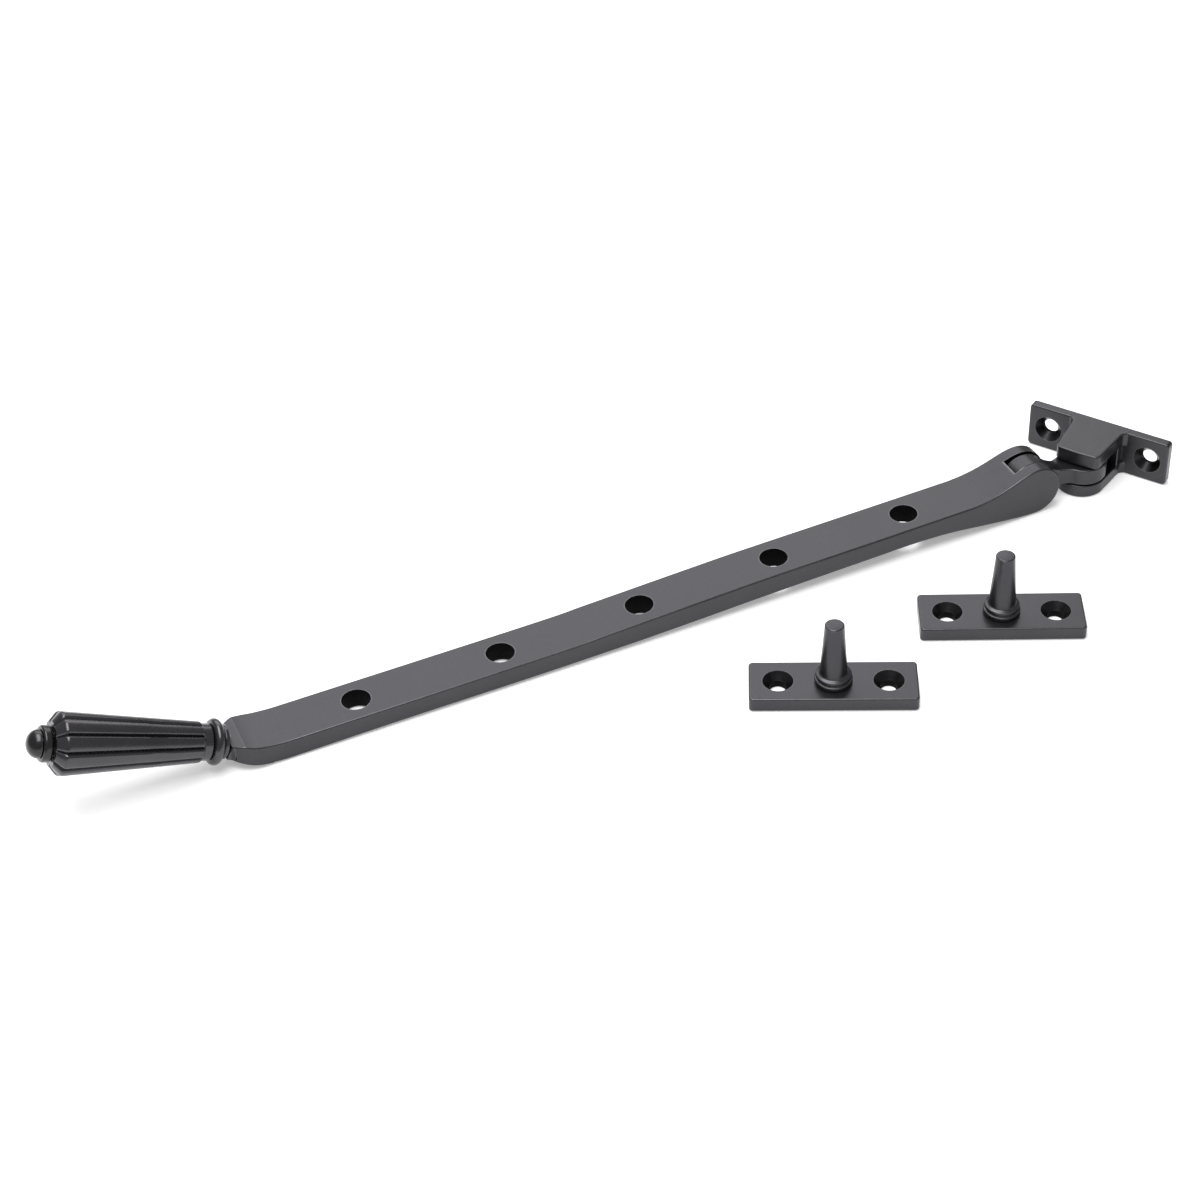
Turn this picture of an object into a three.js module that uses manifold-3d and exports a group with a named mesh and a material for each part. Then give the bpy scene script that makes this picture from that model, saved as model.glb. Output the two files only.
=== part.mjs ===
// Casement window stay, laid out on a flat surface: a cranked stay arm with a reeded
// handle at one end and a clevis at the other, a swivel link and a fixing bracket
// pinned to the clevis, and two separate pin plates whose studs drop into the arm's holes.
// Millimetres. +X runs along the arm from the handle to the bracket, +Z is up, and the
// finished group stands on z = 0 with its origin under the middle of its bounding box.
import * as THREE from 'three';
import { mergeVertices } from 'three/addons/utils/BufferGeometryUtils.js';
import Module from 'manifold-3d';

const wasm = await Module();
wasm.setup();

const degrees = Math.PI / 180;

// --- Driving dimensions -------------------------------------------------------------

// Clearances: where a pin runs in a bore, and where two pieces face each other.
const PIN_CLEARANCE = 0.08;
const SEAT_GAP = 0.3;

// Arm: x is measured from the tip of the handle's ball.
const ARM_WIDTH = 16.6;
const ARM_THICKNESS = 6.8;
const PEG_HOLE_RADIUS = 4.43;
const PEG_HOLE_COUNT = 5;
const PEG_HOLE_SPACING = 46;
const FIRST_PEG_HOLE_X = 94.8;
const CRANK_ANGLE = 22 * degrees;
const CRANK_X = 63.1;
const CRANK_Z = 3.4;
const NOSE_WIDTH = 9.2;
const NOSE_BEVEL_LENGTH = 3;
const NOSE_BEVEL_DROP = 1.4;
const SHOULDER_LENGTH = 8.5;

// Clevis at the bracket end: two cheeks round a horizontal pin.
const CLEVIS_PIN_X = 323.4;
const CLEVIS_RADIUS = 8.6;
const CLEVIS_PIN_RADIUS = 2.6;
const CLEVIS_WIDTH = 15.1;
const CLEVIS_TAPER_LENGTH = 22;
const SLOT_WIDTH = 6.5;
const SLOT_END_RADIUS = 9.2;

// Handle: lengths run along its own axis from the tip of the ball towards the arm.
const BALL_RADIUS = 4.2;
const BALL_LENGTH = 3.5;
const RING_RADIUS = 5.35;
const RING_END = 6.5;
const GRIP_START = 6.8;
const GRIP_BEVEL_END = 9.3;
const GRIP_BEVEL_RADIUS = 6.6;
const GRIP_LARGE_RADIUS = 9.4;
const GRIP_REEDS_END = 50.4;
const GRIP_SMALL_RADIUS = 6.1;
const GRIP_NECK_RADIUS = 5.5;
const GRIP_END = 53.4;
const REED_COUNT = 10;
const REED_GROOVE_DEPTH = 1;
const COLLAR_START = 53.7;
const COLLAR_BEAD_RADIUS = 6.9;
const COLLAR_BEAD_LENGTH = 3.1;
const COLLAR_NECK_RADIUS = 4.3;
const COLLAR_FLANGE_RADIUS = 5.1;
const COLLAR_END = 58.5;
const NOSE_START = 58.8;
const ROD_RADIUS = 2;
const ROD_START = 2;
const ROD_END = 65.6;

// Swivel link: a vertical tongue on the clevis pin and a flat eye on the bracket pin.
const LINK_LENGTH = 21.6;
const TONGUE_RADIUS = 8.1;
const TONGUE_WIDTH = 5.8;
const EYE_RADIUS = 7.9;
const EYE_BOTTOM = 4.8;
const EYE_TOP = 10.4;

// Fixing bracket: an upright plate with a forked lug.
const BRACKET_YAW = -56.9 * degrees;
const BRACKET_LENGTH = 48.6;
const BRACKET_HEIGHT = 15.7;
const BRACKET_THICKNESS = 3.3;
const BRACKET_CORNER_RADIUS = 1.2;
const BRACKET_HOLE_SPACING = 34.7;
const LUG_REACH = 11.8;
const LOWER_LOBE_RADIUS = 7.9;
const LOWER_LOBE_TOP = 4.2;
const UPPER_LOBE_BOTTOM = 10.8;
const UPPER_LOBE_HALF_WIDTH = 7.5;
const UPPER_LOBE_REACH = 17.3;
const LUG_WEB_HALF_WIDTH = 8.6;
const LUG_ROOT_HALF_WIDTH = 9.6;
const FORK_FLOOR = 3.1;
const BRACKET_PIN_RADIUS = 2.5;

// Pin plates: flat plates with an upright tapered stud.
const PLATE_LENGTH = 50;
const PLATE_WIDTH = 17;
const PLATE_THICKNESS = 4.5;
const PLATE_CORNER_RADIUS = 1;
const PLATE_HOLE_SPACING = 32.7;
const STUD_HEIGHT = 26;
const STUD_BASE_RADIUS = 4.15;
const STUD_TOP_RADIUS = 2.9;
const STUD_COLLAR_RADIUS = 5.65;
const STUD_TAIL_RADIUS = 3;
const PIN_PLATES = [
  { letter: 'a', x: 225, y: -53.7, yaw: -26.4 * degrees },
  { letter: 'b', x: 285.4, y: -48.7, yaw: -26 * degrees },
];

// Countersunk screw holes, the same in the bracket and the pin plates.
const SCREW_HOLE_RADIUS = 2.5;
const COUNTERSINK_RADIUS = 4.6;
const COUNTERSINK_DEPTH = 2.3;

// --- Finishes -----------------------------------------------------------------------

const agedBronze = { color: 0x3b393b, roughness: 0.42, metalness: 0.85 };
const castBronze = { color: 0x2e2b2f, roughness: 0.3, metalness: 0.85 };
const bareSteel = { color: 0x8a8a88, roughness: 0.35, metalness: 1 };

function mesh(name, geometry, finish) {
  const piece = new THREE.Mesh(geometry, new THREE.MeshStandardMaterial(finish));
  piece.name = name;
  return piece;
}

// --- Joining and cutting ------------------------------------------------------------

function toSolid(geometry) {
  const bare = geometry.clone();
  bare.deleteAttribute('normal');
  bare.deleteAttribute('uv');
  const merged = mergeVertices(bare, 1e-4);
  return new wasm.Manifold(new wasm.Mesh({
    numProp: 3,
    vertProperties: new Float32Array(merged.attributes.position.array),
    triVerts: new Uint32Array(merged.index.array),
  }));
}

function toGeometry(solid) {
  const data = solid.getMesh();
  const geometry = new THREE.BufferGeometry();
  geometry.setAttribute('position', new THREE.BufferAttribute(data.vertProperties, 3));
  geometry.setIndex(new THREE.BufferAttribute(data.triVerts, 1));
  geometry.computeVertexNormals();
  return geometry;
}

function carve(body, cutters) {
  return toGeometry(cutters.reduce((solid, cutter) => solid.subtract(toSolid(cutter)), toSolid(body)));
}

function join(parts) {
  return toGeometry(parts.slice(1).reduce((solid, part) => solid.add(toSolid(part)), toSolid(parts[0])));
}

function overlap(first, second) {
  return toGeometry(toSolid(first).intersect(toSolid(second)));
}

// --- Shared shapes ------------------------------------------------------------------

// An upright cylinder between two heights.
function uprightCylinder(radius, bottom, top, segments = 32) {
  const geometry = new THREE.CylinderGeometry(radius, radius, top - bottom, segments);
  return geometry.rotateX(Math.PI / 2).translate(0, 0, (bottom + top) / 2);
}

// A cylinder lying across the arm, centred on y = 0.
function crossCylinder(radius, width, segments = 32) {
  return new THREE.CylinderGeometry(radius, radius, width, segments);
}

function box(sizeX, sizeY, sizeZ, x, y, z) {
  return new THREE.BoxGeometry(sizeX, sizeY, sizeZ).translate(x, y, z);
}

// A plan outline raised from one height to another.
function raised(shape, bottom, top, curveSegments = 12) {
  const options = { depth: top - bottom, bevelEnabled: false, curveSegments };
  return new THREE.ExtrudeGeometry(shape, options).translate(0, 0, bottom);
}

// A side outline drawn in x and z, given a width across the arm.
function sideways(shape, width, curveSegments = 12) {
  const options = { depth: width, bevelEnabled: false, curveSegments };
  return new THREE.ExtrudeGeometry(shape, options).rotateX(Math.PI / 2).translate(0, width / 2, 0);
}

function turned(points, segments = 28) {
  const profile = points.map(([radius, along]) => new THREE.Vector2(radius, along));
  return new THREE.LatheGeometry(profile, segments);
}

function roundedRectangle(length, width, radius) {
  const right = length / 2;
  const top = width / 2;
  const shape = new THREE.Shape();
  shape.moveTo(-right + radius, -top);
  shape.lineTo(right - radius, -top);
  shape.absarc(right - radius, -top + radius, radius, -Math.PI / 2, 0, false);
  shape.lineTo(right, top - radius);
  shape.absarc(right - radius, top - radius, radius, 0, Math.PI / 2, false);
  shape.lineTo(-right + radius, top);
  shape.absarc(-right + radius, top - radius, radius, Math.PI / 2, Math.PI, false);
  shape.lineTo(-right, -top + radius);
  shape.absarc(-right + radius, -top + radius, radius, Math.PI, 1.5 * Math.PI, false);
  return shape;
}

// Cutters for one upright screw hole: the shank's bore, and a cone that opens at the top face.
function screwHoleCutters(x, faceHeight) {
  const shank = uprightCylinder(SCREW_HOLE_RADIUS, -1, faceHeight + 1, 24).translate(x, 0, 0);
  const slope = (COUNTERSINK_RADIUS - SCREW_HOLE_RADIUS) / COUNTERSINK_DEPTH;
  const over = 0.5;
  const cone = new THREE.CylinderGeometry(
    COUNTERSINK_RADIUS + slope * over, SCREW_HOLE_RADIUS, COUNTERSINK_DEPTH + over, 24);
  cone.rotateX(Math.PI / 2).translate(x, 0, faceHeight + (over - COUNTERSINK_DEPTH) / 2);
  return [shank, cone];
}

// --- Stay arm -----------------------------------------------------------------------

// The tip of the ball, from which the handle's axis runs down to the crank.
const handleLength = CRANK_X / Math.cos(CRANK_ANGLE);
const tipZ = CRANK_Z + handleLength * Math.sin(CRANK_ANGLE);

// Side outline of the bar: a straight crank with a bevelled nose, a slow rise towards the
// clevis at an even thickness, then a swelling into the clevis's round end. The bar rests
// on the outside of its bend and on the clevis.
function armOutline() {
  const half = ARM_THICKNESS / 2;
  const uphill = new THREE.Vector2(-Math.cos(CRANK_ANGLE), Math.sin(CRANK_ANGLE));
  const across = new THREE.Vector2(Math.sin(CRANK_ANGLE), Math.cos(CRANK_ANGLE));
  const onCrank = (station, offset) => new THREE.Vector2(CRANK_X, CRANK_Z)
    .addScaledVector(uphill, handleLength - station)
    .addScaledVector(across, offset);
  const noseBottom = onCrank(NOSE_START, -half);
  const noseTop = onCrank(NOSE_START, half - NOSE_BEVEL_DROP);
  const bevelTop = onCrank(NOSE_START + NOSE_BEVEL_LENGTH, half);
  const kink = half * Math.tan(CRANK_ANGLE / 2);
  const at = (back, height) => new THREE.Vector2(CLEVIS_PIN_X - back, height);

  const shape = new THREE.Shape();
  shape.moveTo(noseBottom.x, noseBottom.y);
  shape.quadraticCurveTo(CRANK_X - kink, 0, CRANK_X + 8, 0);
  shape.splineThru([
    at(220, 0.4), at(180, 0.5), at(160, 0.7), at(140, 1.05), at(120, 1.7), at(100, 2.5),
    at(80, 3.15), at(60, 3.7), at(46, 4.1), at(37, 3.95),
  ]);
  shape.bezierCurveTo(
    CLEVIS_PIN_X - 24, 3.6, CLEVIS_PIN_X - 9, 0, CLEVIS_PIN_X, 0);
  shape.absarc(CLEVIS_PIN_X, CLEVIS_RADIUS, CLEVIS_RADIUS, -Math.PI / 2, Math.PI / 2, false);
  shape.bezierCurveTo(
    CLEVIS_PIN_X - 6, 2 * CLEVIS_RADIUS, CLEVIS_PIN_X - 11, 12, CLEVIS_PIN_X - 24, 11.1);
  shape.splineThru([
    at(60, 10.4), at(98, 9.7), at(116, 9.1), at(151, 7.7), at(170, 7.1), at(250, ARM_THICKNESS),
  ]);
  shape.quadraticCurveTo(CRANK_X + kink, ARM_THICKNESS, bevelTop.x, bevelTop.y);
  shape.lineTo(noseTop.x, noseTop.y);
  shape.closePath();
  return shape;
}

// Plan outline: round shoulders beside the collar, and a slight taper into the clevis.
function armPlan() {
  const nose = CRANK_X - (handleLength - NOSE_START) * Math.cos(CRANK_ANGLE);
  const start = nose - ARM_THICKNESS;
  const shoulder = nose + SHOULDER_LENGTH;
  const bow = nose + 0.4 * SHOULDER_LENGTH;
  const taper = CLEVIS_PIN_X - CLEVIS_TAPER_LENGTH;
  const end = CLEVIS_PIN_X + CLEVIS_RADIUS + 1;
  const tip = NOSE_WIDTH / 2;
  const half = ARM_WIDTH / 2;
  const cheek = CLEVIS_WIDTH / 2;
  const shape = new THREE.Shape();
  shape.moveTo(start, -tip);
  shape.lineTo(nose, -tip);
  shape.quadraticCurveTo(bow, -half, shoulder, -half);
  shape.lineTo(taper, -half);
  shape.lineTo(CLEVIS_PIN_X, -cheek);
  shape.lineTo(end, -cheek);
  shape.lineTo(end, cheek);
  shape.lineTo(CLEVIS_PIN_X, cheek);
  shape.lineTo(taper, half);
  shape.lineTo(shoulder, half);
  shape.quadraticCurveTo(bow, half, nose, tip);
  shape.lineTo(start, tip);
  shape.closePath();
  return shape;
}

// Points on the handle's axis, and geometry made along +Y laid onto that axis.
function onHandleAxis(geometry) {
  return geometry.rotateZ(-Math.PI / 2).rotateY(CRANK_ANGLE).translate(0, 0, tipZ);
}

function stayArm() {
  const blank = overlap(
    sideways(armOutline(), ARM_WIDTH + 2),
    raised(armPlan(), -1, 2 * CLEVIS_RADIUS + 1, 8));
  const cutters = [];
  for (let i = 0; i < PEG_HOLE_COUNT; i += 1) {
    const hole = uprightCylinder(PEG_HOLE_RADIUS, -5, 20, 32);
    cutters.push(hole.translate(FIRST_PEG_HOLE_X + i * PEG_HOLE_SPACING, 0, 0));
  }
  const slotEnd = crossCylinder(SLOT_END_RADIUS, SLOT_WIDTH, 48);
  cutters.push(slotEnd.translate(CLEVIS_PIN_X, 0, CLEVIS_RADIUS));
  const mouth = 20;
  cutters.push(box(mouth, SLOT_WIDTH, 30, CLEVIS_PIN_X + mouth / 2, 0, CLEVIS_RADIUS));
  const pinHole = crossCylinder(CLEVIS_PIN_RADIUS + PIN_CLEARANCE, ARM_WIDTH + 4, 40);
  cutters.push(pinHole.translate(CLEVIS_PIN_X, 0, CLEVIS_RADIUS));
  const socketEnd = ROD_END + SEAT_GAP;
  const socket = new THREE.CylinderGeometry(
    ROD_RADIUS + SEAT_GAP, ROD_RADIUS + SEAT_GAP, socketEnd - NOSE_START + 2, 24);
  cutters.push(onHandleAxis(socket.translate(0, (socketEnd + NOSE_START - 2) / 2, 0)));
  return mesh('stay_arm', carve(blank, cutters), agedBronze);
}

function clevisPin() {
  const pin = mesh('clevis_pin', crossCylinder(CLEVIS_PIN_RADIUS, CLEVIS_WIDTH), agedBronze);
  pin.position.set(CLEVIS_PIN_X, 0, CLEVIS_RADIUS);
  return pin;
}

// --- Handle, turned about its own axis (local +Y, from the ball towards the arm) ------

function endFinial() {
  const bore = ROD_RADIUS + SEAT_GAP;
  const profile = [[0, 0]];
  const steps = 8;
  for (let i = 1; i <= steps; i += 1) {
    const angle = (i / steps) * (Math.PI / 2);
    profile.push([BALL_RADIUS * Math.sin(angle), BALL_LENGTH * (1 - Math.cos(angle))]);
  }
  profile.push([bore, BALL_LENGTH], [bore, ROD_START - SEAT_GAP], [0, ROD_START - SEAT_GAP]);
  return mesh('end_finial', turned(profile), castBronze);
}

function finialRing() {
  const bore = ROD_RADIUS + SEAT_GAP;
  const start = BALL_LENGTH + SEAT_GAP;
  const chamfer = 0.5;
  const profile = [
    [bore, start], [RING_RADIUS - chamfer, start], [RING_RADIUS, start + chamfer],
    [RING_RADIUS, RING_END - chamfer], [RING_RADIUS - chamfer, RING_END], [bore, RING_END], [bore, start],
  ];
  return mesh('finial_ring', turned(profile), castBronze);
}

// Reeded grip: a turned taper with a V groove between each pair of reeds.
function handleGrip() {
  const bore = ROD_RADIUS + SEAT_GAP;
  const blank = turned([
    [bore, GRIP_START], [GRIP_BEVEL_RADIUS, GRIP_START], [GRIP_LARGE_RADIUS, GRIP_BEVEL_END],
    [GRIP_SMALL_RADIUS, GRIP_REEDS_END], [GRIP_NECK_RADIUS, GRIP_REEDS_END + 1],
    [GRIP_NECK_RADIUS, GRIP_END], [bore, GRIP_END], [bore, GRIP_START],
  ], 40);
  const length = GRIP_REEDS_END - GRIP_BEVEL_END;
  const taper = Math.atan2(GRIP_LARGE_RADIUS - GRIP_SMALL_RADIUS, length);
  const side = REED_GROOVE_DEPTH * Math.SQRT2;
  const cutters = [];
  for (let i = 0; i < REED_COUNT; i += 1) {
    const groove = new THREE.BoxGeometry(side, length + 8, side).rotateY(Math.PI / 4);
    groove.rotateZ(taper);
    groove.translate(
      (GRIP_LARGE_RADIUS + GRIP_SMALL_RADIUS) / 2, (GRIP_BEVEL_END + GRIP_REEDS_END) / 2 - 2, 0);
    cutters.push(groove.rotateY(((i + 0.5) / REED_COUNT) * 2 * Math.PI));
  }
  return mesh('handle_grip', carve(blank, cutters), castBronze);
}

// Collar between the grip and the bar: a round bead, a short neck and a small flange.
function handleCollar() {
  const bore = ROD_RADIUS + SEAT_GAP;
  const profile = [[bore, COLLAR_START]];
  const steps = 8;
  const foot = COLLAR_BEAD_RADIUS - 1.3;
  for (let i = 0; i <= steps; i += 1) {
    const angle = (i / steps) * Math.PI;
    profile.push([
      foot + (COLLAR_BEAD_RADIUS - foot) * Math.sin(angle),
      COLLAR_START + (COLLAR_BEAD_LENGTH * (1 - Math.cos(angle))) / 2,
    ]);
  }
  const flange = COLLAR_END - 1.4;
  profile.push([COLLAR_NECK_RADIUS, COLLAR_START + COLLAR_BEAD_LENGTH + 0.5]);
  profile.push([COLLAR_NECK_RADIUS, flange - 0.3], [COLLAR_FLANGE_RADIUS, flange]);
  profile.push([COLLAR_FLANGE_RADIUS, COLLAR_END], [bore, COLLAR_END], [bore, COLLAR_START]);
  return mesh('handle_collar', turned(profile), castBronze);
}

function handleTieRod() {
  const rod = new THREE.CylinderGeometry(ROD_RADIUS, ROD_RADIUS, ROD_END - ROD_START, 24);
  return mesh('handle_tie_rod', rod.translate(0, (ROD_START + ROD_END) / 2, 0), bareSteel);
}

function handle() {
  const group = new THREE.Group();
  group.add(endFinial(), finialRing(), handleGrip(), handleCollar(), handleTieRod());
  group.rotation.set(0, CRANK_ANGLE, -Math.PI / 2);
  group.position.set(0, 0, tipZ);
  return group;
}

// --- Swivel link --------------------------------------------------------------------

// Side outline of the tongue and the neck, with x from the clevis pin.
function tongueOutline() {
  const top = EYE_TOP - CLEVIS_RADIUS;
  const bottom = EYE_BOTTOM - CLEVIS_RADIUS;
  const leave = 42 * degrees;
  const neckEnd = LINK_LENGTH - EYE_RADIUS + 2;
  const shape = new THREE.Shape();
  shape.moveTo(neckEnd, top);
  shape.lineTo(12.4, top);
  shape.quadraticCurveTo(
    9.4, top + 0.4, TONGUE_RADIUS * Math.cos(leave), TONGUE_RADIUS * Math.sin(leave));
  shape.absarc(0, 0, TONGUE_RADIUS, leave, 2 * Math.PI - leave, false);
  shape.quadraticCurveTo(9.4, bottom - 0.4, 12.4, bottom);
  shape.lineTo(neckEnd, bottom);
  shape.closePath();
  return shape;
}

// Plan outline of the eye and the neck that widens into it.
function eyePlan() {
  const half = TONGUE_WIDTH / 2;
  const meet = 36 * degrees;
  const shape = new THREE.Shape();
  shape.moveTo(9.6, -half);
  shape.quadraticCurveTo(
    13, -half - 0.2,
    LINK_LENGTH - EYE_RADIUS * Math.cos(meet), -EYE_RADIUS * Math.sin(meet));
  shape.absarc(LINK_LENGTH, 0, EYE_RADIUS, Math.PI + meet, 3 * Math.PI - meet, false);
  shape.quadraticCurveTo(13, half + 0.2, 9.6, half);
  shape.closePath();
  return shape;
}

function swivelLink() {
  const blank = join([
    sideways(tongueOutline(), TONGUE_WIDTH, 10),
    raised(eyePlan(), EYE_BOTTOM - CLEVIS_RADIUS, EYE_TOP - CLEVIS_RADIUS, 10),
  ]);
  const clevisBore = crossCylinder(CLEVIS_PIN_RADIUS + PIN_CLEARANCE, TONGUE_WIDTH + 4, 40);
  const bracketBore = uprightCylinder(BRACKET_PIN_RADIUS + PIN_CLEARANCE, -20, 20, 40);
  const link = mesh(
    'swivel_link', carve(blank, [clevisBore, bracketBore.translate(LINK_LENGTH, 0, 0)]), agedBronze);
  link.position.set(CLEVIS_PIN_X, 0, CLEVIS_RADIUS);
  return link;
}

// --- Fixing bracket -----------------------------------------------------------------
// Drawn with x along the plate, y out of its front face and z up; the bracket pin's
// axis stands at x = 0, y = LUG_REACH.

// Side of the lug: flares from the lobe to the plate with a small fillet.
function flare(shape, side, tipHalfWidth, tipReach) {
  if (side > 0) {
    shape.lineTo(tipHalfWidth, tipReach);
    shape.lineTo(LUG_WEB_HALF_WIDTH, 2);
    shape.quadraticCurveTo(LUG_WEB_HALF_WIDTH, 0.2, LUG_ROOT_HALF_WIDTH + 0.6, -0.5);
  } else {
    shape.lineTo(-LUG_ROOT_HALF_WIDTH - 0.6, -0.5);
    shape.quadraticCurveTo(-LUG_WEB_HALF_WIDTH, 0.2, -LUG_WEB_HALF_WIDTH, 2);
    shape.lineTo(-tipHalfWidth, tipReach);
  }
}

function upperLobePlan() {
  const corner = 1.6;
  const shape = new THREE.Shape();
  shape.moveTo(-UPPER_LOBE_HALF_WIDTH + corner, UPPER_LOBE_REACH - 0.2);
  shape.quadraticCurveTo(0, UPPER_LOBE_REACH + 0.3, UPPER_LOBE_HALF_WIDTH - corner, UPPER_LOBE_REACH - 0.2);
  shape.quadraticCurveTo(
    UPPER_LOBE_HALF_WIDTH, UPPER_LOBE_REACH - 0.4, UPPER_LOBE_HALF_WIDTH, UPPER_LOBE_REACH - 2.2);
  flare(shape, 1, UPPER_LOBE_HALF_WIDTH, UPPER_LOBE_REACH - 2.2);
  flare(shape, -1, UPPER_LOBE_HALF_WIDTH, UPPER_LOBE_REACH - 2.2);
  shape.quadraticCurveTo(
    -UPPER_LOBE_HALF_WIDTH, UPPER_LOBE_REACH - 0.4,
    -UPPER_LOBE_HALF_WIDTH + corner, UPPER_LOBE_REACH - 0.2);
  shape.closePath();
  return shape;
}

function lowerLobePlan() {
  const lean = 6 * degrees;
  const tipHalfWidth = LOWER_LOBE_RADIUS * Math.cos(lean);
  const tipReach = LUG_REACH + LOWER_LOBE_RADIUS * Math.sin(lean);
  const shape = new THREE.Shape();
  shape.moveTo(-tipHalfWidth, tipReach);
  shape.absarc(0, LUG_REACH, LOWER_LOBE_RADIUS, Math.PI - lean, lean, true);
  flare(shape, 1, tipHalfWidth, tipReach);
  flare(shape, -1, tipHalfWidth, tipReach);
  shape.closePath();
  return shape;
}

function fixingBracket() {
  const shape = roundedRectangle(BRACKET_LENGTH, BRACKET_HEIGHT, BRACKET_CORNER_RADIUS);
  const plate = raised(shape, 0, BRACKET_THICKNESS, 6);
  const holes = [-1, 1].flatMap(
    (side) => screwHoleCutters((side * BRACKET_HOLE_SPACING) / 2, BRACKET_THICKNESS));
  // Stood on its long edge, with its front face at y = 0.
  const upright = carve(plate, holes);
  upright.rotateX(-Math.PI / 2).translate(0, -BRACKET_THICKNESS, BRACKET_HEIGHT / 2);
  const web = box(
    2 * LUG_WEB_HALF_WIDTH, FORK_FLOOR + 0.5, BRACKET_HEIGHT - 1,
    0, (FORK_FLOOR - 0.5) / 2, BRACKET_HEIGHT / 2);
  const blank = join([
    upright, web,
    raised(lowerLobePlan(), 0, LOWER_LOBE_TOP, 10),
    raised(upperLobePlan(), UPPER_LOBE_BOTTOM, BRACKET_HEIGHT, 6),
  ]);
  const pinHole = uprightCylinder(
    BRACKET_PIN_RADIUS + PIN_CLEARANCE, -1, BRACKET_HEIGHT + 1, 40).translate(0, LUG_REACH, 0);
  return mesh('fixing_bracket', carve(blank, [pinHole]), agedBronze);
}

function bracketPin() {
  const pin = mesh('bracket_pin', uprightCylinder(BRACKET_PIN_RADIUS, 0, BRACKET_HEIGHT), agedBronze);
  pin.position.set(0, LUG_REACH, 0);
  return pin;
}

// The bracket is turned so that its plate stands at BRACKET_YAW, its front towards the arm.
function bracket() {
  const group = new THREE.Group();
  const turn = BRACKET_YAW + Math.PI;
  group.add(fixingBracket(), bracketPin());
  group.rotation.z = turn;
  group.position.set(
    CLEVIS_PIN_X + LINK_LENGTH + LUG_REACH * Math.sin(turn), -LUG_REACH * Math.cos(turn), 0);
  return group;
}

// --- Pin plates ---------------------------------------------------------------------

function pinPlate(letter) {
  const outline = roundedRectangle(PLATE_LENGTH, PLATE_WIDTH, PLATE_CORNER_RADIUS);
  const blank = raised(outline, 0, PLATE_THICKNESS, 6);
  const tailHole = uprightCylinder(STUD_TAIL_RADIUS + SEAT_GAP, -1, PLATE_THICKNESS + 1, 32);
  const holes = [-1, 1].flatMap((side) =>
    screwHoleCutters((side * PLATE_HOLE_SPACING) / 2, PLATE_THICKNESS));
  return mesh(`pin_plate_${letter}`, carve(blank, [tailHole, ...holes]), agedBronze);
}

// Stud with a riveted tail, a grooved collar and a tapered peg.
function pinStud(letter) {
  const seat = PLATE_THICKNESS + SEAT_GAP;
  const chamfer = 0.4;
  const profile = [
    [0, 0], [STUD_TAIL_RADIUS, 0], [STUD_TAIL_RADIUS, seat],
    [STUD_COLLAR_RADIUS, seat], [STUD_COLLAR_RADIUS, seat + 1.2], [STUD_COLLAR_RADIUS - 0.6, seat + 1.5],
    [STUD_COLLAR_RADIUS - 0.6, seat + 1.8], [STUD_COLLAR_RADIUS - 0.4, seat + 2],
    [STUD_COLLAR_RADIUS - 0.6, seat + 2.8],
    [STUD_BASE_RADIUS, seat + 3.2], [STUD_TOP_RADIUS, STUD_HEIGHT - chamfer],
    [STUD_TOP_RADIUS - chamfer, STUD_HEIGHT], [0, STUD_HEIGHT],
  ];
  const geometry = turned(profile).rotateX(Math.PI / 2);
  return mesh(`pin_stud_${letter}`, geometry, agedBronze);
}

function pinPlateSet({ letter, x, y, yaw }) {
  const group = new THREE.Group();
  group.add(pinPlate(letter), pinStud(letter));
  group.rotation.z = yaw;
  group.position.set(x, y, 0);
  return group;
}

// --- Assembly -----------------------------------------------------------------------

const stay = new THREE.Group();
stay.add(stayArm(), clevisPin(), handle(), swivelLink(), bracket(), ...PIN_PLATES.map(pinPlateSet));

// Slide the whole assembly so that its origin lies under the middle of its bounding box.
stay.updateMatrixWorld(true);
const bounds = new THREE.Box3().setFromObject(stay, true);
const middle = bounds.getCenter(new THREE.Vector3());
stay.position.set(-middle.x, -middle.y, -bounds.min.z);
stay.updateMatrixWorld(true);

export default stay;
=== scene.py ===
# %% [markdown]
# # A casement window stay, finished in aged bronze
# A window stay is the cranked bar that holds a side-hung window open. The bar has peg
# holes that drop over a stud on the sill. A reeded handle is fixed to its near end, and a
# swivel link joins its far end to a bracket on the window. The solid parts are already
# packed as a fixed frame, so this lesson only builds what the eye needs: rounded edges,
# brushed and cast metal, worn corners, a floor and soft light.

# %% Open the fixed frame
import math

import bmesh
import bpy
from mathutils import Matrix, Vector


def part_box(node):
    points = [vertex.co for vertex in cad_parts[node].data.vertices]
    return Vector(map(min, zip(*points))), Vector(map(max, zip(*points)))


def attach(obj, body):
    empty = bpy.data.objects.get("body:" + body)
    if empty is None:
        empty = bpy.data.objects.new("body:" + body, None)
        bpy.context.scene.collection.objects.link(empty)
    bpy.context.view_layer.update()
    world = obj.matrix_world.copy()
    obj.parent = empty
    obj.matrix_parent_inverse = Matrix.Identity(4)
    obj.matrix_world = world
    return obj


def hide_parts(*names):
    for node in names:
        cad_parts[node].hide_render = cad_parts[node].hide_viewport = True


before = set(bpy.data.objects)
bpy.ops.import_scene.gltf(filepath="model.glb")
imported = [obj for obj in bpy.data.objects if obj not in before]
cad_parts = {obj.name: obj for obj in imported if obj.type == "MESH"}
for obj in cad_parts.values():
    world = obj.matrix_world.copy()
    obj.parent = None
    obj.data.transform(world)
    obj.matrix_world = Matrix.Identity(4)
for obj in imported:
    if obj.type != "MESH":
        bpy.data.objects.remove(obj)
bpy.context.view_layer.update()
print("parts in the frame:", sorted(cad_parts))

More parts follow.
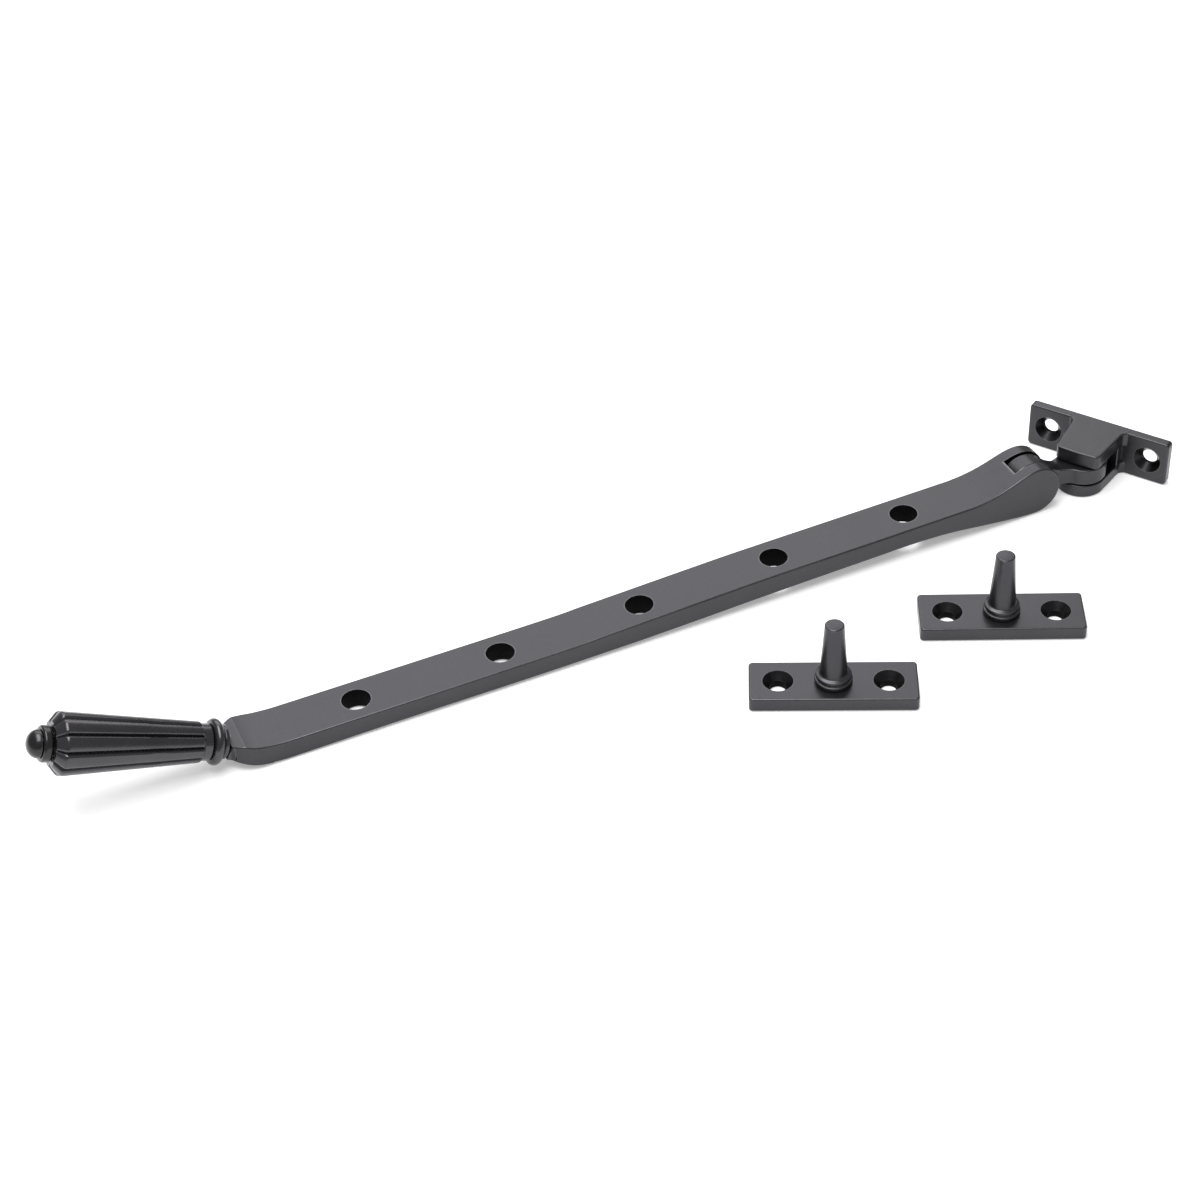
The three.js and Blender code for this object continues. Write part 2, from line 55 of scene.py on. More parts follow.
# %% [markdown]
# ## Measuring from the frame
# All shapes below are drawn in millimetres, as a maker would, and turned into metres once,
# when a mesh is made. Where a piece goes is never typed in: the middle of a pin or of a
# stud says where its axis stands, and the tie rod inside the handle gives the handle's axis.

# %% Find the axes of the stay
MM = 0.001
CRANK_ANGLE = math.radians(22)
ROD_MIDDLE = 33.8


def middle(node):
    low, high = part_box(node)
    return (low + high) / 2


handle_axis = Vector((math.cos(CRANK_ANGLE), 0, -math.sin(CRANK_ANGLE)))
handle_tip = middle("handle_tie_rod") - handle_axis * ROD_MIDDLE * MM
clevis_centre = middle("clevis_pin")
bracket_centre = middle("bracket_pin")
print("handle tip", handle_tip, "clevis", clevis_centre, "bracket pin", bracket_centre)

# %% [markdown]
# ## The camera
# A camera is placed by choosing what it looks at, from which side and how high, and how far
# away. A long lens keeps the far end of the bar from shrinking too much. The slight roll
# comes from a tripod head that isn't quite level.

# %% Set up the camera
AZIMUTH = math.radians(-21.994)
ELEVATION = math.radians(39.581)
ROLL = math.radians(-3.278)
DISTANCE = 0.7545
LENS = 72.63
LOOK_AT = Vector((-0.004477, 0.038504, 0))

sight = Vector((
    -math.sin(AZIMUTH) * math.cos(ELEVATION),
    math.cos(AZIMUTH) * math.cos(ELEVATION),
    -math.sin(ELEVATION),
))
level_right = Vector((math.cos(AZIMUTH), math.sin(AZIMUTH), 0))
level_up = level_right.cross(sight)
right = level_right * math.cos(ROLL) + level_up * math.sin(ROLL)
up = level_up * math.cos(ROLL) - level_right * math.sin(ROLL)

camera_data = bpy.data.cameras.new("bench_camera")
camera_data.lens = LENS
camera_data.sensor_width = 36
camera = bpy.data.objects.new("bench_camera", camera_data)
bpy.context.scene.collection.objects.link(camera)
turn = Matrix((right, up, -sight)).transposed().to_4x4()
camera.matrix_world = Matrix.Translation(LOOK_AT - sight * DISTANCE) @ turn
bpy.context.scene.camera = camera
print("camera stands at", camera.location)

# %% [markdown]
# ## Floor and light
# Dark metal shows its surroundings more than its own colour. So the light is built as large
# plain panels: a wide one behind the bench for the flat tops to mirror, one overhead for the
# bright lines on rounded edges, and a pale room all round. The floor is a matt white sheet
# with a faint glow of its own, like a light table, which keeps the shadows thin.

# %% Lay the floor and hang the light panels
FLOOR_WHITE = 0.85
FLOOR_GLOW = 0.3
ROOM_LIGHT = 0.42


def light_panel(name, place, size, power):
    data = bpy.data.lights.new(name, "AREA")
    data.shape = "RECTANGLE"
    data.size, data.size_y = size
    data.energy = power
    panel = bpy.data.objects.new(name, data)
    panel.location = place
    panel.rotation_mode = "QUATERNION"
    panel.rotation_quaternion = Vector(place).to_track_quat("Z", "Y")
    bpy.context.scene.collection.objects.link(panel)
    return panel


light_panel("overhead_panel", (-0.12, 0.02, 0.95), (1.0, 0.55), 12.0)
light_panel("back_panel", (0.3, 1.15, 0.95), (1.5, 0.8), 9.0)

world = bpy.data.worlds.new("pale_room")
world.use_nodes = True
room = world.node_tree.nodes["Background"]
room.inputs["Color"].default_value = (1, 1, 1, 1)
room.inputs["Strength"].default_value = ROOM_LIGHT
bpy.context.scene.world = world
bpy.context.scene.view_settings.view_transform = "Standard"

floor_mesh = bpy.data.meshes.new("white_floor")
corner = 3.0
floor_mesh.from_pydata(
    [(-corner, -corner, 0), (corner, -corner, 0), (corner, corner, 0), (-corner, corner, 0)],
    [], [(0, 1, 2, 3)])
floor = bpy.data.objects.new("white_floor", floor_mesh)
floor.location.z = -0.0002
bpy.context.scene.collection.objects.link(floor)
floor_paint = bpy.data.materials.new("white_sheet")
floor_paint.use_nodes = True
matt = floor_paint.node_tree.nodes["Principled BSDF"]
matt.inputs["Base Color"].default_value = (FLOOR_WHITE, FLOOR_WHITE, FLOOR_WHITE, 1)
matt.inputs["Roughness"].default_value = 0.9
matt.inputs["Specular IOR Level"].default_value = 0.1
matt.inputs["Emission Color"].default_value = (1, 1, 1, 1)
matt.inputs["Emission Strength"].default_value = FLOOR_GLOW
floor_mesh.materials.append(floor_paint)
print("floor and two light panels are in place")

# %% [markdown]
# ## A small kit for shader nodes
# Each finish is a graph of nodes. Two helpers keep the graphs readable: one adds a node and
# fills its sockets, whether with numbers or with another node's output, and one adds a noise
# pattern that can be stretched, because a brushed mark is only noise pulled out along a line.

# %% Write the node helpers


def add(tree, kind, outlet=0, settings=None, **sockets):
    made = tree.nodes.new("ShaderNode" + kind)
    for name, value in (settings or {}).items():
        setattr(made, name, value)
    for name, value in sockets.items():
        spot = made.inputs[int(name[1:])] if name[1:].isdigit() else made.inputs[name.replace("_", " ")]
        if isinstance(value, bpy.types.NodeSocket):
            tree.links.new(value, spot)
        else:
            spot.default_value = value
    return made.outputs[outlet]


def marks(tree, coordinates, marks_per_metre, detail=3.0):
    stretched = add(tree, "Mapping", Vector=coordinates, Scale=marks_per_metre)
    return add(tree, "TexNoise", Vector=stretched, Scale=1.0, Detail=detail, Roughness=0.6)


def between(tree, value, low, high, start=0.3, stop=0.7):
    return add(tree, "MapRange", Value=value, From_Min=start, From_Max=stop, To_Min=low, To_Max=high)


def blend_colours(tree, amount, first, second):
    return add(tree, "Mix", outlet=2, settings={"data_type": "RGBA"}, _0=amount, _6=first, _7=second)


def maths(tree, operation, first, second=0.0):
    return add(tree, "Math", settings={"operation": operation, "use_clamp": False}, _0=first, _1=second)


def new_finish(name):
    finish = bpy.data.materials.new(name)
    finish.use_nodes = True
    return finish, finish.node_tree, finish.node_tree.nodes["Principled BSDF"]


def edge_mask(tree, width, keenness):
    softened = add(tree, "Bevel", settings={"samples": 6}, Radius=width)
    facing = add(tree, "NewGeometry", outlet=3)
    agree = add(tree, "VectorMath", outlet=1, settings={"operation": "DOT_PRODUCT"}, _0=softened, _1=facing)
    return add(
        tree, "MapRange", Value=maths(tree, "SUBTRACT", 1.0, agree),
        From_Min=0.004, From_Max=keenness, To_Min=0.0, To_Max=1.0)


# %% [markdown]
# ## Aged bronze, brushed
# The bar, the bracket and the plates are forged and linished, then darkened with a patina and
# waxed. A linishing belt leaves fine lines across the broad faces and along the narrow sides,
# so two stretched noises are made and the way a face points chooses between them. The patina
# is uneven: broad clouds shift the colour and the gloss. Handling wears the corners back
# towards bare metal, and a node that compares the true surface with a softened one finds them.
# The lighter colour on those corners is partly that wear and partly a painted highlight along
# the rounded edges. A darker mix of the same finish is painted shade in the countersinks.

# %% Mix the aged bronze


def aged_bronze(name, dark, light, worn_and_highlit, gloss):
    finish, tree, shader = new_finish(name)
    inside = tree.nodes.new("ShaderNodeTexCoord")
    place, facing = inside.outputs["Object"], inside.outputs["Normal"]
    broad = maths(tree, "ABSOLUTE", add(tree, "SeparateXYZ", outlet=2, Vector=facing))
    across = marks(tree, place, (3600, 160, 3600))
    along = marks(tree, place, (110, 4200, 4200))
    brushed = add(tree, "Mix", _0=between(tree, broad, 0, 1, 0.4, 0.8), _2=along, _3=across)
    streaks = marks(tree, place, (900, 45, 900), 2.0)
    clouds = marks(tree, place, (70, 70, 70), 4.0)
    speckle = marks(tree, place, (2600, 2600, 2600), 2.0)
    tone = maths(tree, "ADD", maths(tree, "MULTIPLY", brushed, 0.3), maths(tree, "MULTIPLY", clouds, 0.55))
    tone = maths(tree, "ADD", tone, maths(tree, "MULTIPLY", streaks, 0.15))
    patina = blend_colours(tree, between(tree, tone, 0, 1, 0.36, 0.64), dark, light)
    # Lighter colour on the rounded edges: partly wear, partly a painted highlight.
    lighter_edges = maths(tree, "MULTIPLY", edge_mask(tree, 0.0006, 0.12), between(tree, streaks, 0.35, 1.0))
    tree.links.new(blend_colours(tree, lighter_edges, patina, worn_and_highlit), shader.inputs["Base Color"])
    rough = between(tree, maths(tree, "ADD", maths(tree, "MULTIPLY", clouds, 0.6),
                                maths(tree, "MULTIPLY", brushed, 0.4)), gloss - 0.07, gloss + 0.09)
    tree.links.new(maths(tree, "SUBTRACT", rough, maths(tree, "MULTIPLY", lighter_edges, 0.06)),
                   shader.inputs["Roughness"])
    relief = maths(tree, "ADD", maths(tree, "MULTIPLY", brushed, 0.7), maths(tree, "MULTIPLY", speckle, 0.3))
    bumps = add(tree, "Bump", Strength=0.2, Distance=0.00003, Height=relief)
    tree.links.new(bumps, shader.inputs["Normal"])
    shader.inputs["Metallic"].default_value = 0.9
    return finish


# The third colour lightens the rounded edges: partly wear, partly a painted highlight.
brushed_bronze = aged_bronze(
    "aged_bronze_brushed", (0.047, 0.046, 0.051, 1), (0.056, 0.055, 0.06, 1), (0.15, 0.148, 0.155, 1), 0.32)
# A darker copy of the same finish: painted shade in the countersinks.
recess_shade_bronze = aged_bronze(
    "aged_bronze_recess_shade", (0.012, 0.0115, 0.013, 1), (0.026, 0.025, 0.027, 1), (0.07, 0.068, 0.07, 1), 0.3)
print("mixed", brushed_bronze.name, "and", recess_shade_bronze.name)

# %% [markdown]
# ## Cast bronze for the handle
# The handle is cast, so it has no brushed lines. Its skin has tiny pits and soft swells from
# the mould, and a thicker wax makes it glossier. The ball and its ring get a darker copy of
# it, painted shade.

# %% Mix the handle bronze


def cast_bronze(name, deep, proud, gloss):
    finish, tree, shader = new_finish(name)
    inside = tree.nodes.new("ShaderNodeTexCoord")
    place = inside.outputs["Object"]
    swells = marks(tree, place, (260, 260, 120), 3.0)
    pits = marks(tree, place, (2300, 2300, 1500), 3.0)
    clouds = marks(tree, place, (90, 90, 40), 3.0)
    patina = blend_colours(tree, between(tree, clouds, 0, 1), deep, proud)
    lighter_edges = maths(tree, "MULTIPLY", edge_mask(tree, 0.0004, 0.2), between(tree, swells, 0.3, 0.6))
    tree.links.new(blend_colours(tree, lighter_edges, patina, (0.1, 0.094, 0.098, 1)), shader.inputs["Base Color"])
    tree.links.new(between(tree, pits, gloss - 0.05, gloss + 0.09), shader.inputs["Roughness"])
    skin = add(tree, "Bump", Strength=0.12, Distance=0.00002, Height=pits)
    wavy = add(tree, "Bump", Strength=0.3, Distance=0.00012, Height=swells, Normal=skin)
    tree.links.new(wavy, shader.inputs["Normal"])
    shader.inputs["Metallic"].default_value = 0.8
    shader.inputs["Coat Weight"].default_value = 0.35
    shader.inputs["Coat Roughness"].default_value = 0.16
    return finish


handle_bronze = cast_bronze("handle_bronze_cast", (0.03, 0.029, 0.033, 1), (0.052, 0.049, 0.056, 1), 0.24)
# A darker copy for the ball and its ring: painted shade.
knob_shaded_bronze = cast_bronze("handle_bronze_knob_shaded", (0.014, 0.013, 0.014, 1), (0.026, 0.024, 0.026, 1), 0.27)
print("mixed", handle_bronze.name, "and", knob_shaded_bronze.name)

# %% [markdown]
# ## Bores and bare steel
# The walls inside a drilled hole or a sawn slot are painted near-black, a painted shade for the dark hollows.
# The tie rod that pulls the handle together is plain turned steel, hidden inside it.

# %% Mix the near-black bore shade and the rod steel


def painted_shade_black(name):
    finish, tree, shader = new_finish(name)
    place = tree.nodes.new("ShaderNodeTexCoord").outputs["Object"]
    rings = marks(tree, place, (300, 300, 5200), 2.0)
    # Near-black walls for bores and slots: painted shade.
    colour = blend_colours(
        tree, between(tree, rings, 0, 1), (0.0012, 0.001, 0.0012, 1), (0.004, 0.0035, 0.004, 1))
    tree.links.new(colour, shader.inputs["Base Color"])
    tree.links.new(between(tree, rings, 0.55, 0.8), shader.inputs["Roughness"])
    tree.links.new(add(tree, "Bump", Strength=0.4, Distance=0.00004, Height=rings), shader.inputs["Normal"])
    shader.inputs["Specular IOR Level"].default_value = 0.08
    return finish


def turned_steel(name):
    finish, tree, shader = new_finish(name)
    place = tree.nodes.new("ShaderNodeTexCoord").outputs["Object"]
    lines = marks(tree, place, (5200, 300, 300), 2.0)
    colour = blend_colours(tree, between(tree, lines, 0, 1), (0.3, 0.3, 0.3, 1), (0.46, 0.46, 0.45, 1))
    tree.links.new(colour, shader.inputs["Base Color"])
    tree.links.new(between(tree, lines, 0.28, 0.42), shader.inputs["Roughness"])
    tree.links.new(add(tree, "Bump", Strength=0.3, Distance=0.00003, Height=lines), shader.inputs["Normal"])
    shader.inputs["Metallic"].default_value = 1.0
    return finish


hollow_shade_black = painted_shade_black("bore_painted_shade")
rod_steel = turned_steel("turned_steel")
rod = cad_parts["handle_tie_rod"]
rod.data.materials.clear()
rod.data.materials.append(rod_steel)
print("mixed", hollow_shade_black.name, "and", rod_steel.name)

# %% [markdown]
# ## Drawing outlines
# Most of the pieces start as a drawn outline, as on a pattern maker's board. These helpers
# give points along an arc, along a bent curve and along a smooth curve through marked points,
# and round off the corners of a plain polygon.

# %% Write the outline helpers


def arc(centre, radius, start, stop, count):
    turns = [start + (stop - start) * i / count for i in range(count + 1)]
    return [(centre[0] + radius * math.cos(t), centre[1] + radius * math.sin(t)) for t in turns]


def bent(points, count):
    """A curve that leaves the first point, is pulled by the middle ones and ends at the last."""
    def at(t, rest):
        while len(rest) > 1:
            rest = [tuple((1 - t) * p + t * q for p, q in zip(a, b)) for a, b in zip(rest, rest[1:])]
        return rest[0]
    return [at(i / count, points) for i in range(1, count + 1)]


def smooth_through(points, count):
    """A smooth curve through every point, without its first one."""
    found = []
    for i in range(len(points) - 1):
        before, a, b, after = (points[max(0, min(len(points) - 1, j))] for j in (i - 1, i, i + 1, i + 2))
        for k in range(1, count + 1):
            t = k / count
            found.append(tuple(
                (2 * q + (r - p) * t + (2 * p - 5 * q + 4 * r - s) * t * t
                 + (3 * q - p - 3 * r + s) * t ** 3) / 2
                for p, q, r, s in zip(before, a, b, after)))
    return found


def rounded_corners(corners, closed=True, count=5):
    """corners holds (x, y, radius); each corner is replaced by an arc of that radius."""
    found = []
    for i, (x, y, radius) in enumerate(corners):
        if radius == 0 or (not closed and i in (0, len(corners) - 1)):
            found.append((x, y))
            continue
        here = Vector((x, y))
        back = (Vector(corners[i - 1][:2]) - here).normalized()
        on = (Vector(corners[(i + 1) % len(corners)][:2]) - here).normalized()
        half = back.angle(on) / 2
        centre = here + (back + on).normalized() * (radius / math.sin(half))
        first = here + back * (radius / math.tan(half)) - centre
        last = here + on * (radius / math.tan(half)) - centre
        sweep = first.angle_signed(last)
        for k in range(count + 1):
            a = -sweep * k / count
            found.append((
                centre.x + first.x * math.cos(a) - first.y * math.sin(a),
                centre.y + first.x * math.sin(a) + first.y * math.cos(a)))
    return found


print("outline helpers ready")

# %% [markdown]
# ## From an outline to a solid with soft edges
# A plain extrusion has knife edges, and real metal never does. So each slab is built as a
# stack of rings: the outline itself in the middle, then rings drawn in step by step along a
# quarter circle, then one more ring that keeps the flat face flat. Turned pieces spin a
# profile about their own axis. Holes are cut with a solid of their own, which lends its finish
# to the faces that it cuts: for bores and slots that is a near-black painted shade.

# %% Write the solid builders


def drawn_in(outline, amounts):
    """The outline moved inwards, with a distance for each of its points. It runs anticlockwise."""
    moved = []
    count = len(outline)
    for i, (x, y) in enumerate(outline):
        a, b = Vector(outline[i - 1]), Vector(outline[(i + 1) % count])
        here = Vector((x, y))
        into, out = (here - a).normalized(), (b - here).normalized()
        left, right_side = Vector((-into.y, into.x)), Vector((-out.y, out.x))
        share = max(0.3, 1 + left.dot(right_side))
        step = (left + right_side) * (amounts[i] / share)
        moved.append((x + step.x, y + step.y))
    return moved


def slab(outline, low, high, edge, keep_flat=0.5, steps=4, strips=False):
    """A mesh from low to high, with edges of radius edge, a number or a function of a point.
    Its two flat sides are one face each, or strips between opposite points of the outline."""
    radii = [edge(x, y) if callable(edge) else edge for x, y in outline]
    rings = []
    for i in range(steps + 1):
        swing = math.pi / 2 * i / steps
        inset = [r * (1 - math.cos(swing)) for r in radii]
        rings.append((inset, [r * (1 - math.sin(swing)) for r in radii]))
    rings.append(([r + keep_flat for r in radii], [0] * len(radii)))
    body = bmesh.new()
    levels = []
    for inset, sunk in reversed(rings):
        ring = zip(drawn_in(outline, inset), sunk)
        levels.append([body.verts.new((x, y, low + depth)) for (x, y), depth in ring])
    for inset, sunk in rings:
        ring = zip(drawn_in(outline, inset), sunk)
        levels.append([body.verts.new((x, y, high - depth)) for (x, y), depth in ring])
    count = len(outline)
    for lower, upper in zip(levels, levels[1:]):
        for i in range(count):
            j = (i + 1) % count
            body.faces.new((lower[i], lower[j], upper[j], upper[i]))
    for ring, flip in ((levels[0], True), (levels[-1], False)):
        if strips:
            sides = [
                (ring[i], ring[i + 1], ring[count - i - 1], ring[-i]) for i in range(count // 2)]
        else:
            sides = [ring]
        for side in sides:
            kept = [v for n, v in enumerate(side) if v not in side[:n]]
            body.faces.new(kept[::-1] if flip else kept)
    return body


def spun(profile, segments=72, depth=None, hollow=False):
    """A solid of revolution about z. profile holds (radius, height) from bottom to top, and
    depth(angle, station) may press the surface in, as a groove does. The profile of a hollow
    piece runs all the way round to where it started."""
    body = bmesh.new()
    rings = []
    for k, (radius, height) in enumerate(profile):
        if radius < 1e-6:
            rings.append([body.verts.new((0, 0, height))])
            continue
        ring = []
        for i in range(segments):
            angle = 2 * math.pi * i / segments
            r = radius - (depth(angle, k) if depth else 0)
            ring.append(body.verts.new((r * math.cos(angle), r * math.sin(angle), height)))
        rings.append(ring)
    pairs = list(zip(rings, rings[1:])) + ([(rings[-1], rings[0])] if hollow else [])
    for lower, upper in pairs:
        for i in range(segments):
            j = (i + 1) % segments
            corners = [
                lower[i % len(lower)], lower[j % len(lower)], upper[j % len(upper)], upper[i % len(upper)]]
            kept = [v for n, v in enumerate(corners) if v not in corners[:n]]
            if len(kept) > 2:
                body.faces.new(kept)
    if not hollow:
        for ring, flip in ((rings[0], True), (rings[-1], False)):
            if len(ring) > 1:
                body.faces.new(list(reversed(ring)) if flip else ring)
    return body


def shifted(body, matrix):
    bmesh.ops.transform(body, matrix=matrix, verts=body.verts)
    return body


def block(low, high):
    body = bmesh.new()
    bmesh.ops.create_cube(body, size=1)
    size = [b - a for a, b in zip(low, high)]
    centre = [(a + b) / 2 for a, b in zip(low, high)]
    return shifted(body, Matrix.Translation(centre) @ Matrix.Diagonal((*size, 1)))


def loose_object(name, body, finish):
    bmesh.ops.recalc_face_normals(body, faces=body.faces)
    mesh = bpy.data.meshes.new(name)
    body.to_mesh(mesh)
    body.free()
    mesh.materials.append(finish)
    made = bpy.data.objects.new(name, mesh)
    bpy.context.scene.collection.objects.link(made)
    return made


def settle(made):
    """Turns an object's modifiers into plain mesh."""
    bpy.context.view_layer.update()
    seen = made.evaluated_get(bpy.context.evaluated_depsgraph_get())
    solid = bpy.data.meshes.new_from_object(seen)
    made.modifiers.clear()
    made.data = solid
    return made


def combine(made, others, operation, finish=None):
    """Joins or cuts with each other body. A cut takes the other body's finish."""
    for other in others:
        tool = loose_object("tool", other, finish or made.data.materials[0])
        cut = made.modifiers.new("cut", "BOOLEAN")
        cut.object, cut.operation, cut.solver = tool, operation, "MANIFOLD"
        cut.material_mode = "TRANSFER"
        settle(made)
        bpy.data.objects.remove(tool)
    return made


def ease_edges(made, radius, angle=38, steps=2):
    """Breaks the edges that a cut has left sharp."""
    bevel = made.modifiers.new("ease", "BEVEL")
    bevel.width = radius
    bevel.segments = steps
    bevel.limit_method = "ANGLE"
    bevel.angle_limit = math.radians(angle)
    bevel.use_clamp_overlap = True
    bevel.miter_outer = "MITER_ARC"
    return settle(made)


def fit(made, matrix, body, node):
    """Smooths a piece, sets it in place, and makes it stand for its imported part."""
    mesh = made.data
    mesh.transform(Matrix.Scale(MM, 4))
    mesh.polygons.foreach_set("use_smooth", [True] * len(mesh.polygons))
    mesh.set_sharp_from_angle(angle=math.radians(40))
    weigh = made.modifiers.new("even_shading", "WEIGHTED_NORMAL")
    weigh.keep_sharp = True
    made.matrix_world = matrix
    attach(made, body)
    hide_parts(node)
    print(made.name, "has", len(mesh.polygons), "faces and rides on", body)
    return made


# %% [markdown]
# ## The stay arm
# The bar is forged from one strip: it kicks up by 22 degrees under the handle, runs level
# over the five peg holes, thickens slowly and swells into a round clevis. Its side outline
# holds nearly all of that shape, so it is drawn first. The shoulders beside the handle and
# the slim clevis are then made by bringing the two cheeks together.

# %% Draw the arm's side outline
ARM_WIDTH = 16.6
ARM_THICKNESS = 6.8
CRANK = (63.1, 3.4)
CLEVIS_X = 323.4
CLEVIS_RADIUS = 8.6
CLEVIS_WIDTH = 15.1
NOSE_START = 58.8
NOSE_WIDTH = 9.2
SHOULDER = 8.5

arm_origin = Vector((clevis_centre.x - CLEVIS_X * MM, clevis_centre.y, clevis_centre.z - CLEVIS_RADIUS * MM))
handle_length = CRANK[0] / math.cos(CRANK_ANGLE)


def on_crank(station, offset):
    back = handle_length - station
    return (
        CRANK[0] - back * math.cos(CRANK_ANGLE) + offset * math.sin(CRANK_ANGLE),
        CRANK[1] + back * math.sin(CRANK_ANGLE) + offset * math.cos(CRANK_ANGLE))


def from_clevis(back, height):
    return (CLEVIS_X - back, height)


half_thick = ARM_THICKNESS / 2
kink = half_thick * math.tan(CRANK_ANGLE / 2)
nose_low, nose_high = on_crank(NOSE_START, -half_thick), on_crank(NOSE_START, half_thick - 1.4)
bevel_top = on_crank(NOSE_START + 3, half_thick)
underside = (
    [nose_low] + bent([nose_low, (CRANK[0] - kink, 0), (CRANK[0] + 8, 0)], 24)
    + smooth_through([(CRANK[0] + 8, 0)] + [from_clevis(*p) for p in (
        (220, 0.4), (180, 0.5), (160, 0.7), (140, 1.05), (120, 1.7), (100, 2.5),
        (80, 3.15), (60, 3.7), (46, 4.1), (37, 3.95))], 6)
    + bent([from_clevis(37, 3.95), from_clevis(24, 3.6), from_clevis(9, 0), (CLEVIS_X, 0)], 24))
round_end = arc((CLEVIS_X, CLEVIS_RADIUS), CLEVIS_RADIUS, -math.pi / 2, math.pi / 2, 48)[1:]
crown = (CLEVIS_X, 2 * CLEVIS_RADIUS)
topside = (
    bent([crown, from_clevis(6, 2 * CLEVIS_RADIUS), from_clevis(11, 12), from_clevis(24, 11.1)], 30)
    + smooth_through([from_clevis(*p) for p in (
        (24, 11.1), (60, 10.4), (98, 9.7), (116, 9.1), (151, 7.7), (170, 7.1), (250, ARM_THICKNESS))], 8)
    + bent([from_clevis(250, ARM_THICKNESS), (CRANK[0] + kink, ARM_THICKNESS), bevel_top], 20))
nose = [(bevel_top[0] + (nose_high[0] - bevel_top[0]) * t, bevel_top[1] + (nose_high[1] - bevel_top[1]) * t)
        for t in (0.34, 0.67, 1)]
# The same stations are marked along the underside and the top, so that the cheeks between
# them can be made of narrow strips that follow the shoulders.
lower_run = underside + round_end[:24]
upper_run = [nose_low] + (round_end[23:] + topside + nose)[::-1]


def height_at(run, x):
    for (x0, z0), (x1, z1) in zip(run, run[1:]):
        if x0 <= x <= x1:
            return z0 if x1 == x0 else z0 + (z1 - z0) * (x - x0) / (x1 - x0)
    return run[-1][1]


stations = [nose_high[0], bevel_top[0]]
for x in sorted(p[0] for p in lower_run[1:-1] + upper_run[1:-1]):
    if min(abs(x - seen) for seen in stations + [lower_run[0][0], lower_run[-1][0]]) > 0.12:
        stations.append(x)
stations.sort()
arm_outline = (
    [nose_low] + [(x, height_at(lower_run, x)) for x in stations]
    + [lower_run[-1]] + [(x, height_at(upper_run, x)) for x in reversed(stations)])
print("the arm's outline has", len(arm_outline), "points")

# %% [markdown]
# The upper edges of the bar are crisp, and the lower ones are rubbed rounder. The peg holes
# are drilled straight down and their edges broken a little, as a maker does with a file. The
# slot round the clevis pin is sawn last and its edges are left sharp.

# %% Forge, drill and slot the arm
PEG_HOLE_RADIUS = 4.43
PEG_HOLES = [94.8 + 46 * i for i in range(5)]
SLOT_WIDTH = 7.1
SLOT_END_RADIUS = 9.5
PIN_BORE = 2.68
RIVET_REACH = 7.1
CLEVIS_TAPER = 22
UPPER_EDGE = 0.5
LOWER_EDGE = 0.9
LEVEL_FROM = 66
ROD_SOCKET = 2.3
BRACKET_PIN_BORE = 2.58
nose_x = on_crank(NOSE_START, 0)[0]


def arm_edge(x, height):
    halfway = (height_at(lower_run, x) + height_at(upper_run, x)) / 2
    return LOWER_EDGE if height < halfway - 1 and x > LEVEL_FROM else UPPER_EDGE


def half_width(x):
    if x < nose_x + SHOULDER:
        t = max(0.0, x - nose_x) / SHOULDER
        bow = 0.4
        # The shoulder bends from the nose to the full width, first fast and then slowly.
        s = (math.sqrt(bow * bow + (1 - 2 * bow) * t) - bow) / (1 - 2 * bow)
        return NOSE_WIDTH / 2 + (ARM_WIDTH - NOSE_WIDTH) / 2 * (2 * s - s * s)
    taper = max(0.0, min(1.0, (x - CLEVIS_X + CLEVIS_TAPER) / CLEVIS_TAPER))
    return (ARM_WIDTH + (CLEVIS_WIDTH - ARM_WIDTH) * taper) / 2


arm_body = slab(arm_outline, -ARM_WIDTH / 2, ARM_WIDTH / 2, arm_edge, strips=True)
for v in arm_body.verts:
    x, height, side = v.co
    side -= math.copysign(ARM_WIDTH / 2 - half_width(x), side)
    v.co = (x, side, height)

to_cross = Matrix.Rotation(math.pi / 2, 4, "X")
clevis_spot = Matrix.Translation((CLEVIS_X, 0, CLEVIS_RADIUS))
handle_turn = Matrix((
    (0, -math.sin(CRANK_ANGLE), math.cos(CRANK_ANGLE)),
    (-1, 0, 0),
    (0, -math.cos(CRANK_ANGLE), -math.sin(CRANK_ANGLE)))).to_4x4()
tip = (handle_tip - arm_origin) / MM


def drill(radius, low, high, matrix=Matrix.Identity(4), segments=64):
    return shifted(spun([(radius, low), (radius, high)], segments), matrix)


arm = loose_object("arm_bar", arm_body, brushed_bronze)
holes = [drill(PEG_HOLE_RADIUS, -4, 20, Matrix.Translation((x, 0, 0))) for x in PEG_HOLES]
combine(arm, holes, "DIFFERENCE", hollow_shade_black)
slot_cut = [
    drill(SLOT_END_RADIUS, -SLOT_WIDTH / 2, SLOT_WIDTH / 2, clevis_spot @ to_cross, 96),
    block((CLEVIS_X, -SLOT_WIDTH / 2, -6), (CLEVIS_X + 20, SLOT_WIDTH / 2, 24)),
]
ease_edges(arm, 0.13)
combine(arm, slot_cut, "DIFFERENCE", hollow_shade_black)
combine(arm, [
    drill(PIN_BORE, -RIVET_REACH, RIVET_REACH, clevis_spot @ to_cross, 48),
    drill(ROD_SOCKET, 56, 65.9, Matrix.Translation(tip) @ handle_turn, 40),
], "DIFFERENCE", hollow_shade_black)
fit(arm, Matrix.Translation(arm_origin), "arm", "stay_arm")

# %% [markdown]
# ## The clevis pin and the bracket pin
# Both pins are riveted into blind bores and dressed flush, so nothing of them shows from
# outside. A short turned rod with broken edges is enough, drawn as a profile and spun.

# %% Turn the two pins


def pin_profile(radius, length, chamfer=0.25):
    return rounded_corners([
        (0, 0, 0), (radius, 0, chamfer), (radius, length, chamfer), (0, length, 0)], closed=False, count=3)


